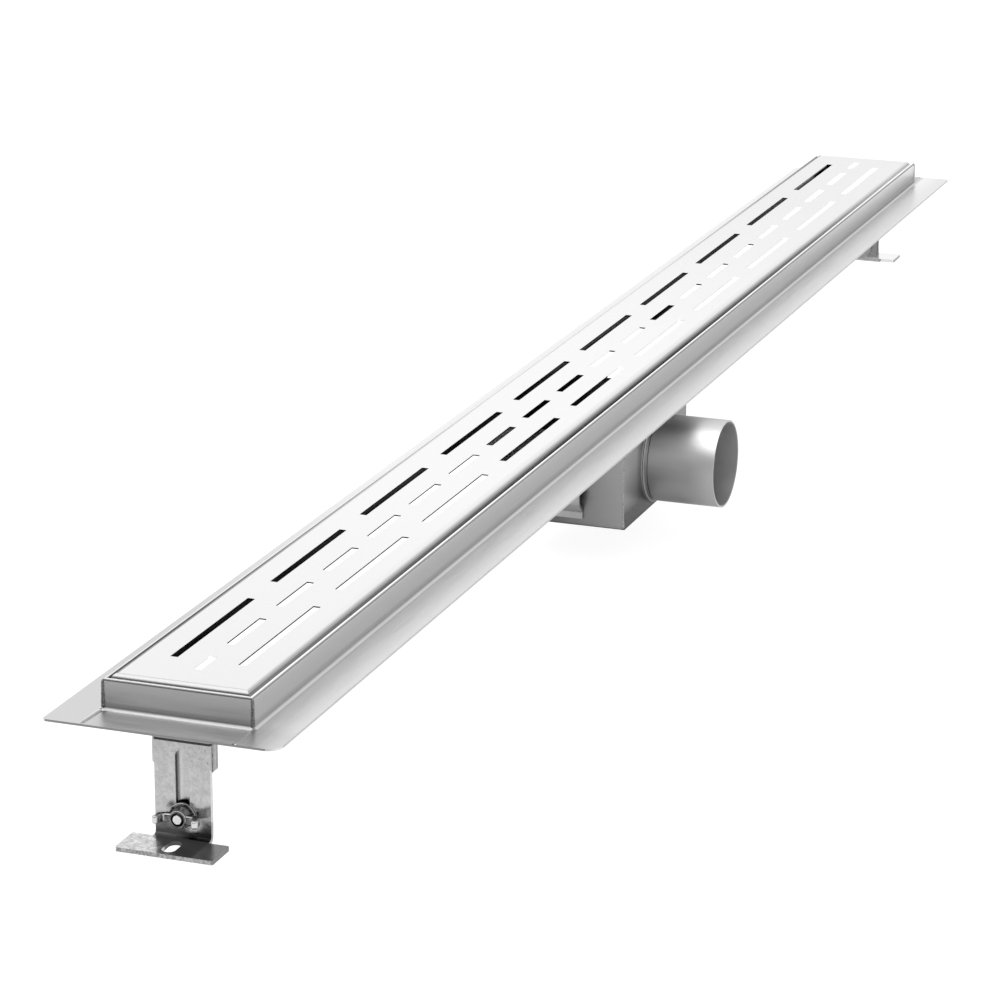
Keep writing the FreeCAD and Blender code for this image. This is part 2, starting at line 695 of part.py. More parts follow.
def make_all():
    end_cap = make_end_cap()
    pieces = {
        "channel": make_channel(),
        "near_end_cap": end_cap,
        "far_end_cap": far_side(end_cap),
        "grate": make_grate(),
        "trap_shell": make_trap_shell(),
        "trap_outlet_side": make_trap_side(-1),
        "trap_plain_side": make_trap_side(1),
        "outlet_pipe": make_outlet_pipe(),
        "bonding_lug": make_bonding_lug(),
        "trap_insert": make_trap_insert(),
        "trap_gasket": make_trap_gasket(),
        "trap_cup": make_trap_cup(),
    }
    for name, shape in make_foot_set().items():
        pieces["near_" + name] = shape
        pieces["far_" + name] = far_side(shape)
    return pieces


def main():
    os.makedirs("parts", exist_ok=True)
    for name, shape in make_all().items():
        solid = shape.Solids[0] if len(shape.Solids) == 1 else shape
        solid.translate(vec(0, 0, BOX_BOTTOM))
        solid.exportStep(os.path.join("parts", name + ".step"))
        print(name, len(shape.Solids), shape.isValid(), round(shape.Volume / 1000, 2), "cm3")


main()
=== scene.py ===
import bpy
import bmesh
import json
import math
from mathutils import Matrix, Vector


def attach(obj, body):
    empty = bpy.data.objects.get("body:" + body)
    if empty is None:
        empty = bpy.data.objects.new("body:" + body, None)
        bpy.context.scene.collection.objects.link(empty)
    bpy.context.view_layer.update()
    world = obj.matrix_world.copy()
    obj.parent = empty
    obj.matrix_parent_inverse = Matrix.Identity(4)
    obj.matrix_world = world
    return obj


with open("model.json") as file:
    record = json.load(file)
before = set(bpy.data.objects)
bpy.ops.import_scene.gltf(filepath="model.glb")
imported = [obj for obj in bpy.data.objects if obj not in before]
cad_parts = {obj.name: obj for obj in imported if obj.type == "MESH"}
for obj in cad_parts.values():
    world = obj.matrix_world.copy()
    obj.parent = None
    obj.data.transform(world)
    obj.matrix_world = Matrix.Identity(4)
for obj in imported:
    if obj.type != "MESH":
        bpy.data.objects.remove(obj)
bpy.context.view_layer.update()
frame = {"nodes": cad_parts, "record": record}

# A stainless linear shower drain. Lengths are in metres, in the frame of the CAD nodes.
NODES = frame["nodes"]

CAMERA_PLACE = (-2.01603, -0.67290, 0.65835)
CAMERA_FORWARD = (0.89719, 0.32696, -0.29689)
CAMERA_UP = (0.27794, 0.10440, 0.95491)
CAMERA_LENS = 138.84

# Where the CAD pieces lie: x runs along the channel and y across it, and heights are from the flange's top
FLANGE_TOP = 0.0665
HALF_FRAME = 0.580
HALF_WIDTH = 0.036
FLANGE_END = 0.600
FLANGE_SIDE = 0.056
RIM_TOP = 0.0145
FLOOR_RISE = 0.007 / 0.5778
BOX_END = 0.0575
BOX_SIDE = 0.03275
BOX_UNDER = 0.0665
PIPE_DEPTH = 0.0388
BOLT_DEPTH = 0.0462
PLATE_FRONT = 0.5765

# Limits of the tones on the pieces, most of them a hair off the face or bend that they pick out
HAIR = 0.0001
CUT_BAND = (-0.00105, 0.00005)
UPSTAND_SIDE = 0.035
UPSTAND_TOP = 0.0134
RIM_BEND = 0.0128
RIM_INNER_BEND = 0.0130
RIM_CROWN = 0.0135
RIM_INSIDE = 0.0137
INSIDE_SIDE = 0.03388
INSIDE_END = 0.57788
GRATE_FOLD = 0.0125
GRATE_HEM = 0.0130
GRATE_END = 0.5766
MIDDLE_ROW_SIDE = 0.006
OUTER_ROW_SIDE = 0.010
OUTLET_SIDE = -0.032
SOLE_TOP = -0.0560
PLATE_SIDE = 0.0133
SLOT_SIDE = 0.0034
BOLT_CHAMFER = 0.0021
# the back of the far bolt and its washer
FAR_BACK = (0.0, 0.5735)
# a point of the edge of the near sole's painted dark reflection, out along the sole and across it, and the
# edge's slope
DARK_REFLECTION_FROM = (0.5785, 0.0137)
DARK_REFLECTION_SLOPE = 0.95

# What the slots show of the trough, lit by a painted glow: a strip and a wall that drift across it as its
# floor falls
STRIP_PLACE = 0.0154
STRIP_HALF = 0.0029
STRIP_DRIFT = 1.14
STRIP_WALL = 0.0028
WALL_PLACE = 0.0327
WALL_SIDE = 0.028
WALL_DRIFT = 1.17
TROUGH_SIDE = 0.02815
TROUGH_DEPTH = 0.0121
SEEN_GLOW = 1.1

# Runs along the channel in which the strip, the wall and the slots' cut walls are painted dark as shade,
# mostly by the trap
STRIP_BREAK = (-0.140, 0.056)
WALL_BREAK = (-0.118, 0.060)
TRAP_RUN = (-0.060, 0.062)
SHADED_RUN = (0.173, 0.225)
MIDDLE_ROW_DARK = ((-0.190, -0.030), (0.090, 0.140))
RIGHT_ROW_DARK = (-0.215, -0.034)

# Where the light changes along the channel: on each side a middle and the distances from it over which
# it does, and the part toward the far end over which it does once more
LEFT_MIDDLE = (0.05, 0.15, 0.55)
RIGHT_MIDDLE = (-0.05, 0.10, 0.50)
FAR_PART = (0.30, 0.52)

# Weld beads: how far their middles lie inside the corners, their radii at both ends, their sides, the
# length of a ripple, and the share of their height that grinding leaves at the flange's joints
CORNER_SINK = 0.0002
BOX_SINK = 0.0003
CORNER_BEAD = (0.0010, 0.0007)
CORNER_FOOT_BEAD = (0.0013, 0.0007)
LEFT_JOINT_BEAD = (0.0010, 0.0009)
RIGHT_JOINT_BEAD = (0.0006, 0.0005)
BOX_BEAD = (0.0005, 0.0005)
BOX_FOOT_BEAD = (0.0011, 0.0004)
BEAD_SIDES = 14
RIPPLE = 0.0007
GROUND_SHARE = 0.14

# The studio's floor: its height, its glow to the camera and in the metal, its paleness in the room and in
# the metal, and where and to what level it dims in the metal in front of the drain
FLOOR_HEIGHT = -0.0200
CAMERA_GLOW = 0.92
METAL_GLOW = 0.28
ROOM_PALENESS = 0.22
METAL_PALENESS = 0.70
STUDIO_END = (-0.82, -0.74)
STUDIO_END_LEVEL = 0.45

# The studio's light: a lamp, the room's level, and soft walls, each with a direction, the angles at which
# it is full and gone, and what it adds to the level
SOFTBOX_PLACE = (-0.55, 0.55, 1.70)
SOFTBOX_SIZE = (1.7, 1.7)
SOFTBOX_POWER = 16.0
ROOM_LEVEL = 0.80
SOFT_WALLS = (
    ("far_wall", (0.90, 0.33, 0.30), 12, 36, 0.17),
    ("near_wall", (-0.90, 0.33, 0.30), 8, 28, -0.70),
    ("right_wall", (0.88, -0.47, -0.02), 6, 19, -0.60),
    ("ceiling", (0.0, 0.0, 1.0), 20, 60, 0.25),
)

# The sockets of a node that mixes two colours
MIX_FACTOR, MIX_FIRST, MIX_SECOND, MIX_RESULT = 0, 6, 7, 2


class Finish:
    """One material, its colour so far, and short calls for the nodes that its pattern needs."""

    def __init__(self, name, metallic=0.0):
        self.material = bpy.data.materials.new(name)
        self.material.use_nodes = True
        self.nodes = self.material.node_tree.nodes
        self.links = self.material.node_tree.links
        self.shader = self.nodes["Principled BSDF"]
        self.place = self.nodes.new("ShaderNodeTexCoord").outputs["Object"]
        self.set(Metallic=metallic)
        self.colour = None
        self.roughness = None
        self.bumps = None

    def set(self, **values):
        for name, value in values.items():
            self.shader.inputs[name.replace("_", " ")].default_value = value

    def feed(self, socket, value):
        if isinstance(value, bpy.types.NodeSocket):
            self.links.new(value, socket)
        else:
            socket.default_value = value

    def maths(self, operation, first, second=0.0, third=0.0):
        node = self.nodes.new("ShaderNodeMath")
        node.operation = operation
        for socket, value in zip(node.inputs, (first, second, third)):
            self.feed(socket, value)
        return node.outputs[0]

    def axes(self, vector=None):
        node = self.nodes.new("ShaderNodeSeparateXYZ")
        self.feed(node.inputs[0], vector or self.place)
        return node.outputs

    def along(self):
        """Distances along the channel, across it and above the flange."""
        x, y, z = self.axes()
        return x, y, self.maths("SUBTRACT", z, FLANGE_TOP)

    def normal(self):
        return self.axes(self.nodes.new("ShaderNodeNewGeometry").outputs["Normal"])

    def size(self, value):
        return self.maths("ABSOLUTE", value)

    def above(self, value, limit):
        return self.maths("GREATER_THAN", value, limit)

    def below(self, value, limit):
        return self.maths("LESS_THAN", value, limit)

    def between(self, value, low, high):
        return self.both(self.above(value, low), self.below(value, high))

    def both(self, first, *others):
        for other in others:
            first = self.maths("MULTIPLY", first, other)
        return first

    def either(self, first, *others):
        for other in others:
            first = self.maths("MAXIMUM", first, other)
        return first

    def no(self, value):
        return self.maths("SUBTRACT", 1.0, value)

    def radius(self, across, up):
        return self.maths("SQRT", self.maths("ADD", self.both(across, across), self.both(up, up)))

    def noise(self, scale, detail=3.0, stretch=(1, 1, 1), roughness=0.5):
        """Noise in Object coordinates, 0 to 1; a stretch below 1 draws it out along that axis."""
        mapping = self.nodes.new("ShaderNodeMapping")
        self.feed(mapping.inputs["Vector"], self.place)
        mapping.inputs["Scale"].default_value = stretch
        node = self.nodes.new("ShaderNodeTexNoise")
        self.feed(node.inputs["Vector"], mapping.outputs[0])
        node.inputs["Scale"].default_value = scale
        node.inputs["Detail"].default_value = detail
        node.inputs["Roughness"].default_value = roughness
        return node.outputs["Fac"]

    def spread(self, value, low, high, to_low=0.0, to_high=1.0):
        """A ramp from to_low, where the value is low, to to_high, where it is high, and level beyond."""
        node = self.nodes.new("ShaderNodeMapRange")
        for name, number in (("Value", value), ("From Min", low), ("From Max", high),
                             ("To Min", to_low), ("To Max", to_high)):
            self.feed(node.inputs[name], number)
        return node.outputs[0]

    def mix(self, factor, first, second):
        """The first colour where the factor is 0 and the second where it is 1; a number is a grey."""
        node = self.nodes.new("ShaderNodeMix")
        node.data_type = "RGBA"
        self.feed(node.inputs[MIX_FACTOR], factor)
        for index, colour in ((MIX_FIRST, first), (MIX_SECOND, second)):
            if isinstance(colour, float):
                colour = (colour, colour, colour, 1.0)
            self.feed(node.inputs[index], colour)
        return node.outputs[MIX_RESULT]

    def paint(self, where, colour):
        """Lay a grey or a colour over part of the surface."""
        self.colour = self.mix(where, self.colour, colour)

    def glow(self, *parts):
        """Let each part give off a little light, as strong as it is given."""
        self.set(Emission_Color=(1, 1, 1, 1))
        self.feed(self.shader.inputs["Emission Strength"], self.either(*parts))

    def bump(self, height, strength, distance):
        node = self.nodes.new("ShaderNodeBump")
        node.inputs["Strength"].default_value = strength
        node.inputs["Distance"].default_value = distance
        self.feed(node.inputs["Height"], height)
        if self.bumps:
            self.links.new(self.bumps, node.inputs["Normal"])
        self.bumps = node.outputs[0]

    def done(self):
        """Join colour, roughness and relief to the shader."""
        self.feed(self.shader.inputs["Base Color"], self.colour)
        self.feed(self.shader.inputs["Roughness"], self.roughness)
        if self.bumps:
            self.links.new(self.bumps, self.shader.inputs["Normal"])
        return self.material


def off_middle(finish, x, middle, none, full):
    """A ramp over the distance from a place along the channel, from 0 at one distance to 1 at the other."""
    return finish.spread(finish.size(finish.maths("SUBTRACT", x, middle)), none, full)


def sheet_steel(name, low, high, grain, roughness, stains=0.5, relief=0.06, swing=0.06):
    """Rolled or brushed sheet: fine grain drawn out along the given axes, and faint wiped stains."""
    finish = Finish(name, metallic=1.0)
    lines = finish.noise(900.0, 4.0, grain, 0.6)
    cloud = finish.noise(9.0, 3.0, (1, 2.5, 2.5))
    both = finish.maths("ADD", finish.both(lines, 1.0 - stains), finish.both(cloud, stains))
    finish.colour = finish.mix(finish.spread(both, 0.3, 0.7), low, high)
    finish.roughness = finish.spread(lines, 0.25, 0.75, roughness - swing, roughness + swing)
    if relief:
        finish.bump(lines, relief, 0.0003)
    return finish


def cut_edges(finish, x, y, z):
    """The flange's cut edges are darker, the ends' more than the sides'."""
    thick = finish.between(z, *CUT_BAND)
    at_end = finish.both(thick, finish.above(finish.size(x), FLANGE_END - HAIR))
    at_side = finish.both(thick, finish.above(finish.size(y), FLANGE_SIDE - HAIR))
    finish.paint(at_side, 0.50)
    finish.paint(at_end, 0.34)


def rim_painted_light(finish, x, y, z):
    """The rim: a painted highlight on its crown, painted shade on its outer bend, and painted shade on the
    inside beside the grate.
    """
    along, across, up = finish.normal()
    outward = finish.both(finish.maths("SIGN", y), across)
    inner = finish.both(finish.between(z, 0.0, RIM_INSIDE), finish.below(finish.size(y), INSIDE_SIDE),
                        finish.below(finish.size(x), INSIDE_END))
    finish.paint(inner, 0.02)
    # toward its ends the painted shade on the left rim reaches further over its bend
    left = finish.both(finish.above(y, 0.0), off_middle(finish, x, *LEFT_MIDDLE))
    facing_in = finish.maths("SUBTRACT", outward, finish.both(left, 0.35))
    turned = finish.both(finish.spread(facing_in, -0.45, -0.85), finish.above(z, RIM_INNER_BEND))
    finish.paint(turned, 0.10)
    crown = finish.both(finish.above(z, RIM_CROWN), finish.spread(up, 0.45, 0.8), finish.no(turned))
    finish.paint(crown, 0.95)
    bent = finish.both(finish.spread(outward, 0.25, 0.55), finish.spread(up, 0.05, 0.2),
                       finish.above(z, RIM_BEND))
    finish.paint(bent, 0.31)
    return finish.either(inner, turned), crown


def seen_trough(finish, x, y, z):
    """The strips of the trough that glow pale through the slots as painted light, and its walls painted dark
    as shade over the trap.
    """
    fall = finish.both(finish.size(x), FLOOR_RISE)
    strip = finish.maths("SUBTRACT", STRIP_PLACE, finish.both(fall, STRIP_DRIFT))
    off_strip = finish.size(finish.maths("SUBTRACT", y, strip))
    under_right = finish.both(finish.below(off_strip, STRIP_HALF), finish.no(finish.between(x, *STRIP_BREAK)))
    wall = finish.maths("SUBTRACT", WALL_PLACE, finish.both(fall, WALL_DRIFT))
    reach = finish.maths("SUBTRACT", y, finish.maths("MINIMUM", wall, WALL_SIDE))
    dark = finish.either(finish.between(x, *WALL_BREAK), finish.between(x, *SHADED_RUN))
    under_middle = finish.both(finish.above(reach, -STRIP_WALL), finish.no(dark))
    inside = finish.both(finish.below(z, -0.0015), finish.below(y, TROUGH_SIDE),
                         finish.above(z, finish.maths("SUBTRACT", fall, TROUGH_DEPTH)))
    over_trap = finish.either(finish.between(x, *TRAP_RUN), finish.between(x, *SHADED_RUN))
    return finish.both(inside, finish.either(under_right, under_middle)), finish.both(inside, over_trap)


def side_painted_light(finish, x, y, z):
    """Painted shade and light on the sides: the upstands are painted duller than the flange, most of all at
    their foot.
    """
    side = finish.size(y)
    upright = finish.both(finish.spread(finish.size(finish.normal()[1]), 0.55, 0.9),
                          finish.above(side, UPSTAND_SIDE), finish.between(z, 0.0002, UPSTAND_TOP))
    finish.paint(upright, 0.53)
    # toward the far end the right upstand is painted paler at its top and duller at its foot, as painted
    # light and shade
    far_right = finish.both(upright, finish.below(y, 0.0), finish.spread(x, 0.20, 0.55))
    finish.paint(far_right, finish.mix(finish.spread(z, 0.0030, 0.0125), 0.38, 0.82))
    foot = finish.both(finish.spread(z, 0.0044, 0.0026), finish.spread(z, 0.0010, 0.0020),
                       finish.above(side, UPSTAND_SIDE))
    finish.paint(foot, 0.46)
    # on the flange, painted light and shade: on the right pale, duller toward its edge and at the near
    # corner, and on the left pale, duller at its near end
    flat = finish.both(finish.above(side, 0.0385), finish.between(z, -HAIR, 0.0003))
    right = finish.both(flat, finish.below(y, 0.0))
    finish.paint(right, finish.mix(finish.spread(side, 0.041, 0.051), 0.94, 0.84))
    finish.paint(finish.both(right, finish.spread(x, -0.572, -0.584)), 0.76)
    left = finish.both(flat, finish.above(y, 0.0))
    finish.paint(left, finish.mix(finish.spread(x, -0.45, -0.20), 0.66, 0.92))


def channel_finish():
    """The channel's sheet, with painted light and shade on its sides and its rim, and a painted glow and
    painted shade on what the slots show of its trough.
    """
    finish = sheet_steel("channel_sheet", 0.71, 0.77, (0.03, 1, 1), 0.33)
    x, y, z = finish.along()
    side_painted_light(finish, x, y, z)
    cut_edges(finish, x, y, z)
    gap, crown = rim_painted_light(finish, x, y, z)
    # painted light: on the right a glow makes the gap beside the grate paler toward both ends, on the left in
    # the middle of the run
    right = finish.below(y, 0.0)
    fill = finish.both(gap, right, off_middle(finish, x, *RIGHT_MIDDLE), 0.36)
    left_fill = finish.both(gap, finish.no(right), finish.no(off_middle(finish, x, *LEFT_MIDDLE)), 0.45)
    far_fill = finish.both(gap, right, finish.spread(x, *FAR_PART), 0.60)
    # a painted highlight glows on the right rim's crown
    lit_crown = finish.both(crown, right, 0.24)
    strips, shaded = seen_trough(finish, x, y, z)
    # painted shade on the trough over the trap, and a painted glow on the strips that the slots show
    finish.paint(finish.both(shaded, finish.no(strips)), 0.02)
    finish.glow(finish.both(strips, SEEN_GLOW), fill, far_fill, left_fill, lit_crown)
    return finish.done()


def cap_finish():
    """The end caps: grain across, marks of handling and a nick at one joint, with painted light and shade on
    the upstand, the bend, the rim and the inner face.
    """
    finish = sheet_steel("cap_sheet", 0.54, 0.65, (1, 0.03, 1), 0.38)
    x, y, z = finish.along()
    along, across, up = finish.normal()
    side = finish.size(y)
    end = finish.size(x)
    smear = finish.noise(60.0, 4.0, (1, 0.12, 1.6), 0.6)
    finish.paint(finish.spread(smear, 0.58, 0.75, 0.0, 0.45), 0.36)
    # painted shade: the upstand is painted duller under the rim and at its foot, and its bend is painted dull
    upright = finish.both(finish.above(finish.size(along), 0.8), finish.below(z, UPSTAND_TOP))
    finish.paint(finish.both(upright, finish.spread(z, 0.0085, 0.0125), 0.8), 0.56)
    finish.paint(finish.both(upright, finish.spread(z, 0.0042, 0.0028)), 0.44)
    bend = finish.both(finish.spread(up, 0.1, 0.3), finish.spread(up, 0.93, 0.80), finish.below(z, 0.0028))
    finish.paint(bend, 0.34)
    # a dark line where the upstand meets the corner welds
    corner = finish.both(finish.above(side, 0.0351), finish.above(z, 0.0015), finish.below(z, 0.0138))
    finish.paint(corner, 0.06)
    nick = finish.both(finish.above(end, FLANGE_END - 0.0012), finish.below(y, -0.0345))
    finish.paint(nick, 0.15)
    cut_edges(finish, x, y, z)
    # painted shade on the inner face beside the grate
    inner = finish.both(finish.between(end, 0.570, INSIDE_END), finish.below(z, RIM_INSIDE))
    finish.paint(inner, 0.10)
    # a painted highlight on the rim's crown, and painted shade on its outer bend
    rim = finish.above(z, RIM_BEND)
    crown = finish.both(rim, finish.spread(up, 0.6, 0.9))
    finish.paint(crown, 0.68)
    outward = finish.both(finish.maths("SIGN", x), along)
    bent = finish.both(rim, finish.spread(outward, 0.35, 0.6), finish.spread(up, 0.05, 0.2))
    finish.paint(bent, 0.20)
    # the far cap's inner face is seen through the last slots, painted pale with a glow as painted light
    seen = finish.both(inner, finish.above(x, 0.0), finish.below(side, 0.028))
    finish.paint(seen, 0.9)
    # painted light: a glow on the rim's inward bend beside the grate
    gap = finish.both(rim, finish.spread(outward, -0.3, -0.7), 0.35)
    finish.glow(finish.both(seen, SEEN_GLOW), gap)
    return finish.done()


def grate_finish():
    """The grate: a painted highlight on top, its long folds in painted shade, painted dark as shade where it
    is hidden, and painted glows where the slots show its walls and far end.
    """
    finish = sheet_steel("grate_sheet", 0.865, 0.880, (0.03, 1, 1), 0.26, 0.8, 0.0, 0.01)
    x, y, z = finish.along()
    side = finish.size(y)
    end = finish.size(x)
    along, across, up = finish.normal()
    # a painted highlight: the top is painted brightest a little short of the middle
    finish.paint(off_middle(finish, x, -0.12, 0.55, 0.15), 0.965)
    to_ends = off_middle(finish, x, *RIGHT_MIDDLE)
    # painted shade along the right edge of the top, fading toward the ends
    eased = finish.both(finish.spread(y, -0.0268, -0.0305), finish.no(to_ends), 0.35)
    finish.paint(eased, 0.45)
    # painted shade on the folds: the right one paler toward the ends and at the far end, the left one toward
    # its ends, and the end folds
    outside = finish.above(z, GRATE_FOLD)
    fold = finish.both(finish.spread(across, -0.12, -0.90), outside)
    far_end = finish.spread(x, *FAR_PART)
    finish.paint(fold, finish.mix(far_end, finish.mix(to_ends, 0.10, 0.34), 0.72))
    left_fold = finish.both(finish.spread(across, 0.0, 0.25), outside, off_middle(finish, x, *LEFT_MIDDLE))
    finish.paint(left_fold, 0.07)
    end_fold = finish.both(finish.spread(finish.size(along), 0.05, 0.42), outside, finish.above(end, 0.573))
    finish.paint(end_fold, 0.34)
    # painted shade: the underside and the hidden inner faces are painted near black
    inner = finish.both(finish.below(z, GRATE_HEM), finish.below(side, 0.0326), finish.below(end, GRATE_END))
    under = finish.either(finish.below(up, -0.2), inner, finish.below(z, GRATE_FOLD))
    finish.paint(under, 0.004)
    # the slots' cut walls: painted shade in the left row and over the trap, and under the top edge on its
    # near side, and painted pale with a glow, as painted light, beyond it but for the ends of a few slots
    wall = finish.both(finish.below(finish.size(up), 0.2), finish.below(side, 0.0200),
                       finish.between(z, 0.0151, 0.01599))
    middle_row = finish.below(side, MIDDLE_ROW_SIDE)
    left_row = finish.above(y, OUTER_ROW_SIDE)
    dark_runs = finish.either(*(finish.between(x, *run) for run in MIDDLE_ROW_DARK))
    middle_dark = finish.both(middle_row, dark_runs)
    right_dark = finish.both(finish.below(y, -OUTER_ROW_SIDE), finish.between(x, *RIGHT_ROW_DARK))
    over_trap = finish.either(middle_dark, right_dark, left_row)
    near_part = finish.both(finish.below(x, -0.06),
                            finish.no(finish.both(middle_row, finish.below(x, -0.535))),
                            finish.spread(z, 0.01530, 0.01545))
    far_ends = finish.both(finish.above(finish.size(along), 0.7), middle_row, finish.between(x, -0.030, 0.30))
    dark_cut = finish.either(over_trap, near_part, far_ends)
    finish.paint(wall, finish.mix(dark_cut, 0.9, 0.01))
    # the far end's inner face is seen through the last slots, given a glow as painted light
    seen = finish.both(finish.between(x, 0.5755, GRATE_END), finish.below(z, GRATE_HEM),
                       finish.below(y, 0.0215))
    # painted light: a glow on the right skirt toward the ends
    skirt = finish.both(finish.below(y, -0.0325), finish.between(z, 0.0100, 0.0135), to_ends, 0.30)
    pale_wall = finish.both(wall, finish.no(dark_cut), 0.75)
    finish.glow(finish.both(seen, SEEN_GLOW), skirt, pale_wall)
    return finish.done()


def trap_finish():
    """The trap box: dull sheet, its darkness partly a painted reflection of the dark below, with painted
    light toward the outlet side and painted shade low on that side and along its lowest edge.
    """
    finish = sheet_steel("trap_sheet", 0.24, 0.29, (0.2, 0.2, 1), 0.38)
    x, y, z = finish.along()
    # painted light and shade on the end faces, lighter toward the outlet side
    lit = finish.spread(y, 0.014, -0.030)
    facing_end = finish.above(finish.size(finish.normal()[0]), 0.7)
    finish.paint(facing_end, finish.mix(lit, 0.125, 0.38))
    # painted shade low on the outlet side
    outlet_foot = finish.both(finish.below(y, OUTLET_SIDE), finish.spread(z, -0.032, -0.058))
    finish.paint(outlet_foot, 0.095)
    # painted light: the outlet side is painted paler beside the near corner, above the pipe's weld
    near_corner = finish.both(finish.spread(x, -0.022, -0.036), finish.below(y, OUTLET_SIDE),
                              finish.spread(z, -0.058, -0.034))
    finish.paint(near_corner, 0.74)
    # painted shade along the lowest edge
    finish.paint(finish.spread(z, -0.0652, -0.0660), 0.06)
    return finish.done()


def lug_finish():
    """The earthing strap: plain rolled sheet."""
    return sheet_steel("lug_sheet", 0.40, 0.50, (0.2, 0.2, 1), 0.36).done()


def pipe_finish():
    """Rolled tube, painted paler inside and with painted light and shade outside, and with a dark line on
    either side of its weld bead.
    """
    finish = sheet_steel("pipe_tube", 0.50, 0.55, (1, 0.2, 1), 0.43, 0.7, 0.03)
    x, y, z = finish.along()
    reach = finish.radius(x, finish.maths("ADD", z, PIPE_DEPTH))
    # painted light: the inside is painted paler, most toward the top
    inside = finish.both(finish.below(reach, 0.0242), finish.above(y, -0.0744))
    finish.paint(inside, finish.mix(finish.spread(z, -0.050, -0.030), 0.68, 0.80))
    outside = finish.above(reach, 0.0249)
    # painted shade low on the outside, fading out toward the mouth
    low = finish.both(outside, finish.spread(z, -0.044, -0.058), finish.spread(y, -0.070, -0.055))
    finish.paint(finish.both(low, 0.95), 0.31)
    # a painted highlight toward the mouth above the middle, and painted shade in a band below it
    mouth_side = finish.both(outside, finish.spread(y, -0.044, -0.060), finish.spread(z, -0.036, -0.026))
    finish.paint(mouth_side, 0.66)
    waist = finish.both(outside, finish.spread(z, -0.030, -0.038), finish.spread(z, -0.058, -0.044),
                        finish.spread(y, -0.072, -0.060))
    finish.paint(waist, 0.36)
    groove = finish.either(finish.between(y, -0.0337, -0.0332), finish.between(y, -0.0360, -0.0355))
    finish.paint(finish.both(groove, outside), 0.10)
    return finish.done()


def weld_finish(name, low, high):
    """Cooled weld: rippled, with dark and bright spots."""
    finish = Finish(name, metallic=1.0)
    spots = finish.noise(1400.0, 3.0, (1, 1, 1), 0.6)
    finish.colour = finish.mix(finish.spread(spots, 0.38, 0.62), low, high)
    finish.bump(spots, 0.4, 0.0002)
    finish.roughness = finish.spread(spots, 0.3, 0.7, 0.28, 0.45)
    return finish.done()


def zinc_coat(name, low, high, roughness):
    """Zinc coat with a mottled spangle, fine pits and dull patches."""
    finish = Finish(name, metallic=1.0)
    patches = finish.noise(260.0, 5.0, (1, 1, 1), 0.7)
    pits = finish.noise(1100.0, 3.0, (1, 1, 0.6), 0.6)
    finish.colour = finish.mix(finish.spread(patches, 0.35, 0.65), low, high)
    finish.paint(finish.spread(pits, 0.58, 0.72, 0.0, 0.6), low * 0.45)
    finish.bump(pits, 0.15, 0.0002)
    finish.roughness = finish.spread(patches, 0.3, 0.7, roughness, roughness + 0.10)
    return finish


